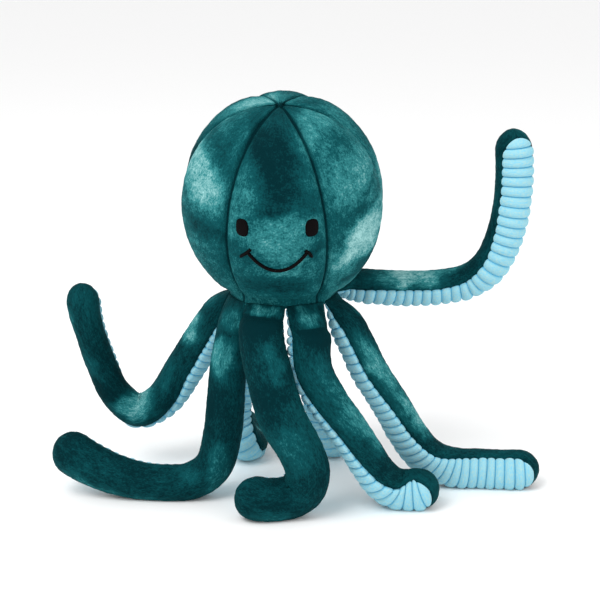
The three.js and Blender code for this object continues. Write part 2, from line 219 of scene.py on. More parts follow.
def surfaceAt(bag, row, column):
    grid = bag["grid"]
    rows, columns = grid.shape[:2]
    row = np.clip(row, 0, rows - 1)
    baseRow = np.minimum(np.floor(row), rows - 2).astype(int)
    baseColumn = np.floor(column).astype(int)
    rowWeights = splineWeights(row - baseRow)
    columnWeights = splineWeights(column - baseColumn)
    total = np.zeros((len(row), 3))
    for i in range(4):
        for j in range(4):
            picked = grid[np.clip(baseRow + i - 1, 0, rows - 1), (baseColumn + j - 1) % columns]
            total += picked * (rowWeights[:, i] * columnWeights[:, j])[:, None]
    return total


def surfaceNormal(bag, row, column, step=0.3, firstRow=0.02):
    row = np.clip(row, firstRow, bag["grid"].shape[0] - 1 - step)
    alongWay = surfaceAt(bag, row + step, column) - surfaceAt(bag, row - step, column)
    aroundWay = surfaceAt(bag, row, column + step) - surfaceAt(bag, row, column - step)
    normal = np.cross(aroundWay, alongWay)
    return normal / np.maximum(np.linalg.norm(normal, axis=1, keepdims=True), 1e-12)


def raised(bag, row, column, height):
    points = surfaceAt(bag, row, column) + surfaceNormal(bag, row, column) * height[:, None]
    points[:, 2] = np.maximum(points[:, 2], cloth["floorGap"])
    return points


# Painted sheen and shade of the brushed pile: lengths in millimetres
brush = {
    "waves": ((11, 5), (3.5, 2.2)),  # waves that bend a patch's outline: how long and how far
    "core": 0.35,  # a patch is even up to this share of its half size
    "rim": 1.35,  # and has faded out at this one
    "most": 1.35,  # patches that overlap never lean further
}


def tufts(points, size, seed):
    # a soft unevenness of the pile, from -1 to 1
    return np.array([noise.noise(Vector(point) / size + Vector((seed, 0, 0))) for point in points])


def paintedSheenAndShade(strokes, across, along, start=0.0):
    # how far the pile leans, which the colour shows as painted sheen and shade: each stroke is a patch with
    # its place, half sizes, turn and strength
    lean = np.full(len(across), start)
    flat = np.stack([across, along, np.zeros(len(across))], axis=1)
    for seed, (size, shift) in enumerate(brush["waves"], 1):
        across = across + tufts(flat, size, seed) * shift
        along = along + tufts(flat, size, seed + len(brush["waves"])) * shift
    for x, y, halfAcross, halfAlong, turn, strength in strokes:
        c, s = math.cos(math.radians(turn)), math.sin(math.radians(turn))
        u = ((across - x) * c + (along - y) * s) / halfAcross
        v = (-(across - x) * s + (along - y) * c) / halfAlong
        lean += strength * (1 - smoothStep(brush["core"], brush["rim"], np.sqrt(u * u + v * v)))
    return brush["most"] * np.tanh(lean / brush["most"])


# Materials
def tint(text):
    channels = [int(text[i:i + 2], 16) / 255 for i in (1, 3, 5)]
    return tuple(c / 12.92 if c < 0.04045 else ((c + 0.055) / 1.055) ** 2.4 for c in channels) + (1.0,)


def addNode(tree, kind, inputs=None, **settings):
    made = tree.nodes.new(kind)
    for setting, value in settings.items():
        setattr(made, setting, value)
    for socket, value in (inputs or {}).items():
        if isinstance(value, bpy.types.NodeSocket):
            tree.links.new(value, made.inputs[socket])
        else:
            made.inputs[socket].default_value = value
    return made


def plus(tree, first, second, clamped=False):
    made = addNode(tree, "ShaderNodeMath", {0: first, 1: second}, operation="ADD", use_clamp=clamped)
    return made.outputs[0]


def times(tree, first, second):
    return addNode(tree, "ShaderNodeMath", {0: first, 1: second}, operation="MULTIPLY").outputs[0]


def ramp(tree, value, fromLow, fromHigh, toLow=0.0, toHigh=1.0, **settings):
    made = addNode(tree, "ShaderNodeMapRange", {
        0: value, 1: fromLow, 2: fromHigh, 3: toLow, 4: toHigh}, **settings)
    return made.outputs[0]


def blend(tree, share, first, second):
    return addNode(tree, "ShaderNodeMix", {0: share, 6: first, 7: second}, data_type="RGBA").outputs[2]


def noisy(tree, vector, kind):
    return addNode(tree, "ShaderNodeTexNoise", {"Vector": vector, **kind}).outputs["Fac"]


def aboutZero(tree, value, weight):
    return times(tree, plus(tree, value, -0.5), weight)


def marked(tree, name):
    return addNode(tree, "ShaderNodeAttribute", attribute_name=name).outputs["Fac"]


def effectGroup(name, inputs, outputs):
    group = bpy.data.node_groups.new(name, "ShaderNodeTree")
    for socket, value in inputs.items():
        kind = "NodeSocketFloat" if isinstance(value, float) else "NodeSocketColor"
        group.interface.new_socket(socket, in_out="INPUT", socket_type=kind).default_value = value
    for socket, kind in outputs.items():
        group.interface.new_socket(socket, in_out="OUTPUT", socket_type=f"NodeSocket{kind}")
    return group, group.nodes.new("NodeGroupInput"), group.nodes.new("NodeGroupOutput")


def weaveCoordinates(tree, acrossScale, alongScale):
    # the cloth's own measure, in stretched metres, with the piece's bolt number as a third axis
    weave = addNode(tree, "ShaderNodeUVMap", uv_map="weave")
    parts = addNode(tree, "ShaderNodeSeparateXYZ", {0: weave.outputs[0]})
    across = times(tree, parts.outputs[0], acrossScale)
    along = times(tree, parts.outputs[1], alongScale)
    return addNode(tree, "ShaderNodeCombineXYZ", {0: across, 1: along, 2: marked(tree, "bolt")}).outputs[0]


# Short pile with painted sheen: where it leans towards the light it is painted pale, and where it leans away
# nearly black
pileLook = {
    "stretch": 0.55,  # patches are drawn out along the cloth, and tufts and hairs more so
    "hairStretch": 0.45,
    "patches": {"Detail": 5.0, "Roughness": 0.58, "Distortion": 0.5},
    "clumps": {"Scale": 420.0, "Detail": 4.0, "Roughness": 0.65},
    "hairs": {"Scale": 1300.0, "Detail": 2.0, "Roughness": 0.7},
    "torn": {"Scale": 150.0, "Detail": 3.0},  # breaks up a patch of painted sheen and shade at its edge
    "clumpWeight": 0.5,
    "hairWeight": 0.55,
    "tornWeight": 0.55,
    "leanWeight": 0.34,
    "tones": (("Mid", 0.12, 0.45), ("Bright", 0.45, 0.65), ("Light", 0.65, 0.95)),
    "level": 0.45,  # where pile without painted sheen or shade patches falls among the tones
    "darkRoughness": 0.85,
    "paleRoughness": 0.6,
    "hairHeight": 0.4,  # as a share of the clumps' height
    "bumpDistance": 0.0009,
}


def pileGroup():
    group, inside, outside = effectGroup("painted pile sheen and shade", {
        "Dark": tint("#01252a"), "Mid": tint("#0a4b50"), "Bright": tint("#317e81"), "Light": tint("#9bcbca"),
        "Patches": 0.6, "Patch Scale": 30.0, "Bump": 0.6,
    }, {"Color": "Color", "Roughness": "Float", "Normal": "Vector"})
    wide = weaveCoordinates(group, 1.0, pileLook["stretch"])
    fine = weaveCoordinates(group, 1.0, pileLook["hairStretch"])
    patches = noisy(group, wide, {"Scale": inside.outputs["Patch Scale"], **pileLook["patches"]})
    clumps = noisy(group, fine, pileLook["clumps"])
    hairs = noisy(group, fine, pileLook["hairs"])
    patchy = aboutZero(group, patches, inside.outputs["Patches"])
    clumpy = aboutZero(group, clumps, pileLook["clumpWeight"])
    hairy = aboutZero(group, hairs, pileLook["hairWeight"])
    torn = aboutZero(group, noisy(group, wide, pileLook["torn"]), pileLook["tornWeight"])
    leaning = plus(group, marked(group, "lean"), torn)
    leaning = times(group, leaning, pileLook["leanWeight"])
    total = plus(group, plus(group, patchy, clumpy), plus(group, hairy, leaning))
    place = plus(group, total, pileLook["level"], clamped=True)
    colour = inside.outputs["Dark"]
    for tone, low, high in pileLook["tones"]:
        colour = blend(group, ramp(group, place, low, high), colour, inside.outputs[tone])
    rough = ramp(group, place, 0.0, 1.0, pileLook["darkRoughness"], pileLook["paleRoughness"])
    height = plus(group, times(group, hairs, pileLook["hairHeight"]), clumps)
    bump = addNode(group, "ShaderNodeBump", {
        "Strength": inside.outputs["Bump"], "Distance": pileLook["bumpDistance"], "Height": height})
    group.links.new(colour, outside.inputs["Color"])
    group.links.new(rough, outside.inputs["Roughness"])
    group.links.new(bump.outputs[0], outside.inputs["Normal"])
    return group


# Yarns dyed unevenly: fine flecks; and painted shade, a darker tone down in the grooves
heatherLook = {
    "stretch": 0.45,
    "flecks": {"Scale": 1500.0, "Detail": 4.0, "Roughness": 0.75},
    "yarns": {"Scale": 420.0, "Detail": 3.0},
    "yarnWeight": 0.4,
    "crestRamp": (0.02, 0.75, 0.0, 0.7),
    "bumpDistance": 0.0006,
}


def heatherGroup():
    group, inside, outside = effectGroup("heather", {
        "Groove": tint("#57bfe6"), "Crest": tint("#a4ccce"), "Fleck": 2.2, "Bump": 0.6,
    }, {"Color": "Color", "Normal": "Vector"})
    fine = weaveCoordinates(group, heatherLook["stretch"], 1.0)
    flecks = noisy(group, fine, heatherLook["flecks"])
    flecky = aboutZero(group, flecks, inside.outputs["Fleck"])
    cloudy = aboutZero(group, noisy(group, fine, heatherLook["yarns"]), heatherLook["yarnWeight"])
    crest = ramp(group, marked(group, "crest"), *heatherLook["crestRamp"], interpolation_type="SMOOTHSTEP")
    tone = plus(group, plus(group, crest, flecky), cloudy, clamped=True)
    colour = blend(group, tone, inside.outputs["Groove"], inside.outputs["Crest"])
    bump = addNode(group, "ShaderNodeBump", {
        "Strength": inside.outputs["Bump"], "Distance": heatherLook["bumpDistance"], "Height": flecks})
    group.links.new(colour, outside.inputs["Color"])
    group.links.new(bump.outputs[0], outside.inputs["Normal"])
    return group


def newMaterial(name, principled):
    material = bpy.data.materials.new(name)
    material.use_nodes = True
    for socket, value in principled.items():
        material.node_tree.nodes["Principled BSDF"].inputs[socket].default_value = value
    return material


def clothMaterial(name, group, values, principled):
    material = newMaterial(name, principled)
    tree = material.node_tree
    shader = tree.nodes["Principled BSDF"]
    effect = addNode(tree, "ShaderNodeGroup", node_tree=group)
    for socket, value in values.items():
        effect.inputs[socket].default_value = value
    for output, socket in (("Color", "Base Color"), ("Normal", "Normal"), ("Roughness", "Roughness")):
        if output in effect.outputs:
            tree.links.new(effect.outputs[output], shader.inputs[socket])
    return material


heather = heatherGroup()
plushMaterial = clothMaterial("teal plush", pileGroup(), {}, {
    "Sheen Weight": 0.1, "Sheen Roughness": 0.35, "Sheen Tint": tint("#38b0b0"), "Specular IOR Level": 0.03,
})
corduroyMaterial = clothMaterial("blue corduroy", heather, {}, {
    "Roughness": 0.85, "Sheen Weight": 0.12, "Sheen Roughness": 0.4, "Sheen Tint": tint("#c4ecf4"),
    "Specular IOR Level": 0.05,
})
panelMaterial = clothMaterial("base corduroy", heather, {"Fleck": 0.4}, {
    "Roughness": 0.85, "Specular IOR Level": 0.05,
})
fibreMaterial = clothMaterial("white fibre", heather, {
    "Groove": tint("#cfcbc2"), "Crest": tint("#f6f4ef"), "Fleck": 0.9, "Bump": 0.9,
}, {"Roughness": 0.95, "Sheen Weight": 0.3})
threadMaterial = clothMaterial("black thread", heather, {
    "Groove": tint("#020102"), "Crest": tint("#0a0607"), "Fleck": 0.6, "Bump": 0.5,
}, {"Roughness": 0.45, "Specular IOR Level": 0.04})
print("materials ready:", len(bpy.data.node_groups), "shared effects")


# Arms
arms = {
    "length": 0.200,
    "width": 0.029,
    "thickness": 0.026,
    "rootWidth": 0.0262,
    "rootTaper": 0.024,
    "rootLead": 0.008,  # the widening begins this far before the seam
    "undersideHalfAngle": math.radians(66),
    "tipRim": 0.005,  # plush left round the end of the ribbed panel
    "panelTip": 0.1,  # the ribbed panel's blunt end, as a share of its width
    "innerBendShare": 0.85,  # how far cloth may reach into a bend, of its radius
    "floorReach": 0.001,  # an arm whose solid comes this low rests on the floor
    "floorPress": 0.0005,
    "bagColumns": 28,
    "bodyRows": 62,
    "capRows": 8,
}
# each arm's middle line: out, aside (shares of its length), height (a share of the seam's) and turn
armRoutes = {
    "arm_1": (
        (0.065, 0, 0.87, -5), (0.14, -0.025, 0.71, -5), (0.21, -0.025, 0.555, -12),
        (0.285, -0.015, 0.39, -28), (0.365, 0.015, 0.325, -55), (0.435, 0.04, 0.41, -90),
        (0.465, 0.075, 0.56, -115), (0.485, 0.105, 0.715, -125), (0.5, 0.13, 0.865, -130),
        (0.505, 0.14, 1.005, -130),
    ),
    "arm_2": (
        (0.01, 0, 0.86, -30), (0.035, 0.005, 0.71, -30), (0.05, 0.01, 0.535, -45), (0.06, 0, 0.35, -45),
        (0.09, -0.015, 0.18, -60), (0.155, -0.045, 0.105, -60), (0.25, -0.09, 0.095, -60),
        (0.35, -0.15, 0.115, -60), (0.45, -0.22, 0.175, -60), (0.54, -0.28, 0.27, -60),
    ),
    "arm_3": (
        (0.04, 0, 0.875, -5), (0.085, 0.04, 0.715, -5), (0.11, 0.09, 0.53, -10), (0.09, 0.145, 0.365, -10),
        (0.065, 0.16, 0.245, -5), (0.055, 0.14, 0.155, 5), (0.07, 0.095, 0.115, 10),
        (0.11, 0.025, 0.115, 10), (0.145, -0.055, 0.16, 10),
    ),
    "arm_4": (
        (0.03, 0, 0.865, -25), (0.06, -0.005, 0.725, -30), (0.09, 0.035, 0.59, -42),
        (0.115, 0.09, 0.465, -52), (0.13, 0.145, 0.335, -62), (0.14, 0.195, 0.22, -82),
        (0.15, 0.25, 0.145, -112), (0.18, 0.31, 0.135, -138), (0.225, 0.37, 0.175, -150),
    ),
    "arm_5": (
        (0.06, 0, 0.86, -22), (0.125, 0.025, 0.64, -28), (0.19, 0.065, 0.455, -40),
        (0.24, 0.11, 0.285, -54), (0.295, 0.155, 0.155, -74), (0.365, 0.195, 0.095, -98),
        (0.465, 0.235, 0.08, -106), (0.56, 0.26, 0.08, -108), (0.65, 0.29, 0.09, -108),
    ),
    "arm_6": (
        (0.07, 0, 1.005, -10), (0.16, -0.03, 0.99, -20), (0.26, -0.055, 0.975, -25),
        (0.365, -0.1, 0.98, -25), (0.455, -0.145, 1.015, -35), (0.5, -0.195, 1.1, -45),
        (0.53, -0.225, 1.235, -55), (0.545, -0.245, 1.405, -62), (0.55, -0.245, 1.575, -60),
        (0.54, -0.245, 1.765, -60),
    ),
    "arm_7": (
        (0.025, 0, 0.835, 0), (0.05, -0.01, 0.65, -5), (0.07, -0.03, 0.455, -5), (0.09, -0.055, 0.29, -10),
        (0.115, -0.075, 0.17, -10), (0.17, -0.07, 0.11, -5), (0.24, -0.055, 0.095, -5),
        (0.33, -0.03, 0.1, -5), (0.435, 0.005, 0.105, -5),
    ),
    "arm_8": (
        (0.03, 0, 0.835, 5), (0.065, 0.025, 0.645, 5), (0.085, 0.06, 0.455, 5), (0.09, 0.075, 0.29, 15),
        (0.09, 0.05, 0.17, 35), (0.12, 0.01, 0.11, 55), (0.21, -0.035, 0.095, 55), (0.31, -0.05, 0.095, 55),
        (0.395, -0.055, 0.1, 55),
    ),
}
# how full each arm is along its length, as shares of its length and of its width
armFullness = {
    "arm_1": ((0, 0.84), (0.2, 0.98), (0.4, 0.98), (0.65, 0.78), (0.85, 0.76), (1, 0.86)),
    "arm_2": ((0, 0.84), (0.4, 0.94), (0.7, 0.9), (0.9, 1.06), (1, 1.06)),
    "arm_3": ((0, 1.02), (0.4, 1.1), (0.55, 1.04), (0.8, 1.02), (1, 1.04)),
    "arm_4": ((0, 1.02), (0.4, 0.94), (0.8, 1), (1, 1)),
    "arm_5": ((0, 0.84), (0.4, 0.92), (0.8, 1), (1, 1)),
    "arm_6": ((0, 0.84), (0.5, 0.9), (1, 0.9)),
    "arm_7": ((0, 0.78), (0.4, 0.87), (0.8, 1), (1, 1)),
    "arm_8": ((0, 0.78), (0.4, 0.87), (0.8, 1), (1, 1)),
}


def middleLine(points, samples=600):
    # a centripetal Catmull-Rom spline through the points, evenly stepped in its own parameter
    ends = [2 * points[0] - points[1], *points, 2 * points[-1] - points[-2]]
    line = []
    for t in np.linspace(0, 1, samples):
        place = t * (len(points) - 1)
        first = min(int(place), len(points) - 2)
        p0, p1, p2, p3 = ends[first:first + 4]
        d0, d1, d2 = (np.sum((b - a) ** 2) ** 0.25 for a, b in ((p0, p1), (p1, p2), (p2, p3)))
        startSlope = ((p1 - p0) / d0 - (p2 - p0) / (d0 + d1) + (p2 - p1) / d1) * d1
        endSlope = ((p2 - p1) / d1 - (p3 - p1) / (d1 + d2) + (p3 - p2) / d2) * d1
        w = place - first
        line.append(p1 + startSlope * w + (3 * (p2 - p1) - 2 * startSlope - endSlope) * w ** 2
                    + (2 * (p1 - p2) + startSlope + endSlope) * w ** 3)
    return np.array(line)


def armForm(name):
    # the stations along an arm: where its middle is, how it is turned and how full it is
    joint = seamJoints[name]
    seam = np.array(joint["pos_m"])
    aside = -np.array(joint["axis"])
    outward = np.cross(aside, (0, 0, 1))
    route = armRoutes[name]
    points = [seam] + [
        seam + (outward * out + aside * side) * arms["length"] + np.array((0, 0, (height - 1) * seamHeight))
        for out, side, height, _ in route
    ]
    line = middleLine(points)
    gone = lengthAlong(line)
    length = gone[-1]
    cap = arms["width"] / 2
    body = np.linspace(0, length - cap, arms["bodyRows"], endpoint=False)
    rounding = np.linspace(0, math.pi / 2, arms["capRows"] + 1)
    distance = np.concatenate([body, length - cap + cap * np.sin(rounding)])
    tip = np.concatenate([np.ones(len(body)), np.cos(rounding)])
    slope = np.gradient(line, gone, axis=0)
    slope /= np.linalg.norm(slope, axis=1, keepdims=True)
    probe = arms["width"] / 4
    before, after = np.maximum(distance - probe, 0), np.minimum(distance + probe, length)
    bend = pointsAt(after, gone, slope) - pointsAt(before, gone, slope)
    bendSize = np.maximum(np.linalg.norm(bend, axis=1), 1e-9)
    turns = np.array([0] + [point[3] for point in route])
    knot = np.interp(distance, gone, np.linspace(0, 1, len(line))) * (len(turns) - 1)
    turn = np.radians(np.interp(knot, np.arange(len(turns)), turns))
    wide = aside.copy()
    across, top = [], []
    for along, angle in zip(pointsAt(distance, gone, slope), turn):
        wide = wide - along * wide.dot(along)
        wide /= np.linalg.norm(wide)
        turned = np.array(Matrix.Rotation(angle, 3, Vector(along)) @ Vector(wide))
        across.append(turned)
        top.append(np.cross(along, turned))
    full = np.interp(distance / length, *zip(*armFullness[name]))
    swell = smoothStep(-arms["rootLead"], arms["rootTaper"], distance)
    opening = np.sin(np.minimum(distance / arms["rootTaper"], 1) * math.pi / 2)
    halfWidth = arms["rootWidth"] / 2 + (arms["width"] / 2 * full - arms["rootWidth"] / 2) * swell
    halfThickness = cloth["foldRadius"] + (arms["thickness"] / 2 * full - cloth["foldRadius"]) * opening
    return {
        "length": length, "distance": distance, "centre": pointsAt(distance, gone, line),
        "across": np.array(across), "top": np.array(top),
        "halfWidth": halfWidth * tip, "halfThickness": halfThickness * tip,
        "bendWay": bend / bendSize[:, None], "bendRadius": (after - before) / bendSize,
    }


def armBag(name):
    form = armForm(name)
    angles = -math.pi / 2 + np.arange(arms["bagColumns"]) / arms["bagColumns"] * 2 * math.pi
    slim = stuffing["slim"] * smoothStep(0, arms["rootTaper"], form["distance"])
    halfWidth = np.maximum(form["halfWidth"] - slim, 0)
    halfThickness = np.maximum(form["halfThickness"] - slim, 0)
    offset = (form["across"][:, None] * (halfWidth[:, None] * np.cos(angles))[..., None]
              + form["top"][:, None] * (halfThickness[:, None] * np.sin(angles))[..., None])
    reach = np.einsum("rci,ri->rc", offset, form["bendWay"])
    over = np.maximum(reach - (form["bendRadius"] * arms["innerBendShare"])[:, None], 0)
    offset -= over[..., None] * form["bendWay"][:, None]
    grid = form["centre"][:, None] + offset
    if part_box(f"{name}_ribbed_underside")[0].z < arms["floorReach"]:  # let down until it presses
        drop = seamHeight - grid[..., 2].min()
        grid[..., 2] = seamHeight + (grid[..., 2] - seamHeight) * (seamHeight + arms["floorPress"]) / drop
    grid = blowUp(f"{name}_bag", grid)
    return {**form, "grid": grid, "columns": arms["bagColumns"]}


def ribbedHalfAngle(bag, distance):
    # half the angle that the ribbed panel takes, drawn in round its end
    toEnd = bag["length"] - arms["tipRim"] - distance
    place = np.clip(1 - toEnd / (arms["width"] / 2), 0, 1)
    narrowed = np.maximum(np.sqrt(1 - place ** 2), arms["panelTip"])
    return arms["undersideHalfAngle"] * np.where(toEnd < 0, 0, narrowed)


def rowOf(bag, distance):
    return np.interp(distance, bag["distance"], np.arange(len(bag["distance"])))


def columnOf(bag, angle):
    return (angle + math.pi / 2) / (2 * math.pi) * bag["columns"]


# Ribbed underside of an arm
ribs = {
    "pitch": 0.0063,
    "depth": 0.0025,
    "sink": 0.0009,  # the grooves lie this far under the plush
    "columns": 18,
    "profile": (0, 0.035, 0.12, 0.29, 0.5, 0.71, 0.88, 0.965),  # where the rows of one rib lie
    "roundness": 2.4,  # at 2 a rib is half an ellipse, above that it is fuller
    "crowding": 1.5,  # columns lie closer together towards the panel's edges
    "edgeWave": 0.09,  # how far the panel's edge is drawn in at each groove
    "edgeWobble": 0.012,
    "depthWobble": 0.1,
    "rootReach": 0.7,  # the ribs reach their full depth in this share of the root's taper
    "rootDepth": 0.35,
    "edgeDepth": 0.25,
    "edgeRounding": 5,
    "tuckStart": 0.93,  # from here to the edge of the panel it is tucked in
    # painted shade where the panel's edge tucks in under the plush
    "shadeStart": 0.85,
    "edgeShade": 0.6,
    "wall": 0.0007,
}


def ribbedUnderside(name, bag):
    panelLength = bag["length"] - arms["tipRim"]
    count = round(panelLength / ribs["pitch"])
    perRib = len(ribs["profile"])
    number = int(name[-1])
    wobble = np.random.default_rng(number).uniform(-1, 1, (count + 1, 3))

    def place(acrossShare, alongShare):
        step = np.rint(alongShare * count * perRib).astype(int)
        rib = np.minimum(step // perRib, count - 1)
        share = np.where(step >= count * perRib, 1, np.array(ribs["profile"])[step % perRib])
        distance = (rib + share) / count * panelLength
        bulge = np.maximum(1 - np.abs(2 * share - 1) ** ribs["roundness"], 0) ** 0.5
        side = crowded(acrossShare, ribs["crowding"])
        edge = np.abs(side)
        waved = 1 + (bulge - 1) * ribs["edgeWave"] + wobble[rib, 0] * ribs["edgeWobble"]
        half = ribbedHalfAngle(bag, distance) * waved
        opening = smoothStep(0, arms["rootTaper"] * ribs["rootReach"], distance)
        depth = ribs["depth"] * (1 + wobble[rib, 1] * ribs["depthWobble"])
        depth *= atLeast(ribs["rootDepth"], opening)
        rounding = np.sqrt(np.maximum(1 - edge ** ribs["edgeRounding"], 0))
        height = depth * bulge * atLeast(ribs["edgeDepth"], rounding) - ribs["sink"] * opening
        height -= cloth["tuck"] * smoothStep(ribs["tuckStart"], 1, edge) * opening
        points = raised(bag, rowOf(bag, distance), columnOf(bag, -math.pi / 2 + half * side), height)
        # the crest mark darkens the grooves and the tucked edges with painted shade
        crest = bulge * (1 - ribs["edgeShade"] * smoothStep(ribs["shadeStart"], 1, edge))
        return points, {"crest": crest, "bolt": np.full(len(edge), number)}

    size = (arms["width"], panelLength)
    piece = gridMesh(f"{name}_corduroy", ribs["columns"], count * perRib, size, place)
    addWall(piece, ribs["wall"])
    dress(piece, name, "ribbed_fabric", corduroyMaterial, f"{name}_ribbed_underside")


# Plush top of an arm
plushTop = {
    "columns": 60,
    "bodyRows": 150,
    "capRows": 16,
    "underlap": 0.0024,  # how far its edge runs on under the ribs
    "underlapShare": 0.6,  # at most this share of the ribs' half angle
    "seamDepth": 0.0019,
    "seamStart": -0.7,  # the dip of the seam begins this many underlaps before it
    "rootSeam": 0.3,
    "tuftHeight": 0.0003,
    "tuftSize": 0.003,
    "leastRadius": 0.001,
    "girth": 0.7,  # of half the round of an arm, for the measure of its cloth
    "tone": -0.7,  # the arms are a little darker than the head
}
# crosswise creases: distance from the arm's seam, depth of the fold, swell below it (mm)
armCreases = {"arm_3": ((10, 1.6, 1.0),), "arm_4": ((17, 1.3, 0.9),)}
# how a crease runs: its width in mm, then shares, and places measured in widths
crease = {
    "width": 2.2,
    "bow": 0.04,
    "reach": 1.5,  # it fades out this many half widths from the middle
    "edgeDepth": 0.25,
    "swellPlace": 2.2,
    "swellWidth": 2,
    # painted shade in the fold and on the cloth below it
    "shade": 1.9,
    "shadeReach": 2.6,
    "shadeEdge": 6,  # the shade ends sharply on the side of the root
}
# painted sheen and shade on the arms, pale where the pile leans to the light and dark where it leans away or
# lies in shade: across and along from the seam (mm), half sizes, turn and strength
armSheenAndShade = {
    "arm_1": (
        (4, 16, 16, 10, 20, 0.6), (-9, 40, 12, 15, 30, 1.5), (-9, 80, 10, 20, 0, 0.6),
        (-4, 72, 14, 18, 0, -0.3), (1, 118, 19, 22, 20, 1.6), (0, 150, 16, 12, 0, -0.3),
        (-4, 172, 7, 12, 0, 0.4), (-10, 205, 8, 12, 0, 0.7),
    ),
    "arm_2": (
        (-4, 12, 10, 8, 10, 0.8), (1, 38, 13, 12, 15, 1.2), (0, 74, 18, 20, 0, -0.5),
        (-6, 110, 10, 20, 20, 0.8), (8, 132, 9, 10, 40, 0.4), (0, 165, 16, 26, 0, -0.3),
        (-14, 170, 7, 30, 0, 0.7), (-12, 205, 8, 14, 0, 0.7),
    ),
    "arm_3": (
        (-2, 5, 13, 5, 8, 1.1), (-7, 40, 8, 14, 10, 0.8), (5, 62, 14, 12, -20, -0.4),
        (2, 92, 12, 18, 10, 0.4), (0, 116, 18, 10, 10, -0.4), (0, 140, 16, 20, 0, -0.1),
        (-12, 150, 8, 14, 20, 0.8),
    ),
    "arm_4": (
        (5, 9, 10, 8, 30, 1.3), (-7, 9, 7, 6, 20, -0.4), (-8, 45, 9, 16, 0, -0.3), (4, 46, 8, 14, 0, 0.5),
        (-1, 84, 17, 32, 10, 1.2), (0, 114, 16, 12, 0, -0.6),
    ),
    "arm_5": (
        (-6, 16, 12, 7, 20, 0.8), (6, 26, 10, 8, 20, -0.6), (12, 56, 11, 30, 6, 1.1),
        (13, 100, 11, 24, 12, 1.5), (0, 126, 16, 10, 0, -0.6), (0, 170, 16, 26, 0, -0.4),
    ),
    "arm_6": (
        # the first patch is painted shadow at the root, under the head
        (-6, 12, 18, 12, 0, -1.0), (11, 58, 15, 28, 0, 1.7), (8, 92, 10, 10, 20, 0.9),
        (0, 104, 16, 10, 0, 0.4), (0, 150, 18, 36, 0, -0.5),
    ),
    "arm_7": ((0, 40, 14, 20, 0, 0.8), (4, 90, 12, 14, 20, -0.4), (-3, 130, 12, 12, 30, 1.0)),
    "arm_8": ((2, 36, 14, 14, 10, 0.9), (-4, 80, 12, 16, -20, -0.4), (3, 130, 12, 12, 20, 1.1)),
}


def plushArmTop(name, bag):
    cap = arms["width"] / 2
    total = plushTop["bodyRows"] + plushTop["capRows"]
    number = int(name[-1])

    def place(acrossShare, alongShare):
        step = alongShare * total
        rounding = np.clip((step - plushTop["bodyRows"]) / plushTop["capRows"], 0, 1) * math.pi / 2
        body = np.minimum(step / plushTop["bodyRows"], 1) * (bag["length"] - cap)
        distance = body + cap * np.sin(rounding)
        half = ribbedHalfAngle(bag, distance)
        radius = np.interp(distance, bag["distance"], bag["halfWidth"])
        radius = np.maximum(radius, plushTop["leastRadius"])
        under = np.minimum(plushTop["underlap"] / radius, half * plushTop["underlapShare"])
        reach = math.pi - half + under
        side = 2 * acrossShare - 1
        angle = math.pi / 2 + reach * side
        lap = np.abs(side) * reach - (math.pi - half)
        lap /= np.maximum(under, 1e-6)  # 0 on the seam, 1 at the cloth's edge
        opening = smoothStep(0, arms["rootTaper"], distance)
        dip = smoothStep(plushTop["seamStart"], 1, lap) * (half > 0)
        height = -plushTop["seamDepth"] * dip * atLeast(plushTop["rootSeam"], opening)
        row, column = rowOf(bag, distance), columnOf(bag, angle)
        uneven = tufts(surfaceAt(bag, row, column), plushTop["tuftSize"], number)
        height += uneven * plushTop["tuftHeight"] * opening
        across = (angle - math.pi / 2) * radius * toMm
        # the lean mark becomes painted sheen and shade in the pile's colour
        lean = paintedSheenAndShade(armSheenAndShade[name], across, distance * toMm, plushTop["tone"])
        for fold, depth, swell in armCreases.get(name, ()):
            past = (distance * toMm - fold + np.abs(across) * crease["bow"]) / crease["width"]
            middle = np.maximum(1 - (across / (radius * crease["reach"] * toMm)) ** 2, 0)
            sunk = depth * np.exp(-past * past) * atLeast(crease["edgeDepth"], middle)
            swollen = swell * np.exp(-((past - crease["swellPlace"]) / crease["swellWidth"]) ** 2) * middle
            height += (swollen - sunk) / toMm * (lap < 0)
            # painted shade in the crease and under its fold
            fading = np.where(past > 0, past / crease["shadeReach"], past * past * crease["shadeEdge"])
            lean -= crease["shade"] * np.exp(-fading) * middle
        return raised(bag, row, column, height), {"lean": lean, "bolt": np.full(len(side), number)}

    size = (math.pi * arms["width"] * plushTop["girth"], bag["length"])
    piece = addWall(gridMesh(f"{name}_plush", plushTop["columns"], total, size, place))
    dress(piece, name, "plush", plushMaterial, f"{name}_plush_top")


# Stuffing inside a cover, just under its cloth, drawn together at its open end
fibres = {
    "depth": 0.0034,
    "rootShare": 0.35,  # it starts this share of the taper away from an arm's seam
    "leastShare": 0.2,
    "grid": (24, 50),
    "headDepth": 0.0046,
    "headGrid": (60, 44),
    "clump": 0.004,
}


def fibreMarks(points):
    return {"crest": tufts(points, fibres["clump"], seed=3) * 0.5 + 0.5}


def armStuffing(name, bag):
    start = arms["rootTaper"] * fibres["rootShare"]
    middles = bag["grid"].mean(axis=1)

    def place(acrossShare, alongShare):
        distance = start + alongShare * (bag["length"] - start)
        inner = np.interp(distance, bag["distance"], bag["halfThickness"])
        row = rowOf(bag, distance)
        middle = pointsAt(row, np.arange(len(middles)), middles)
        surface = surfaceAt(bag, row, acrossShare * bag["columns"])
        kept = np.maximum(1 - fibres["depth"] / np.maximum(inner, 1e-4), fibres["leastShare"])
        points = middle + (surface - middle) * kept[:, None]
        points[alongShare == 0] = points[alongShare == 0].mean(axis=0)
        return points, fibreMarks(points)

    size = (arms["width"] * 3, bag["length"])
    piece = gridMesh(f"{name}_stuffing", *fibres["grid"], size, place)
    dress(piece, name, "stuffing", fibreMaterial, f"{name}_filling")


for name in armRoutes:
    bag = armBag(name)
    plushArmTop(name, bag)
    ribbedUnderside(name, bag)
    armStuffing(name, bag)
    print(name, "sewn:", round(bag["length"] * toMm), "mm long")


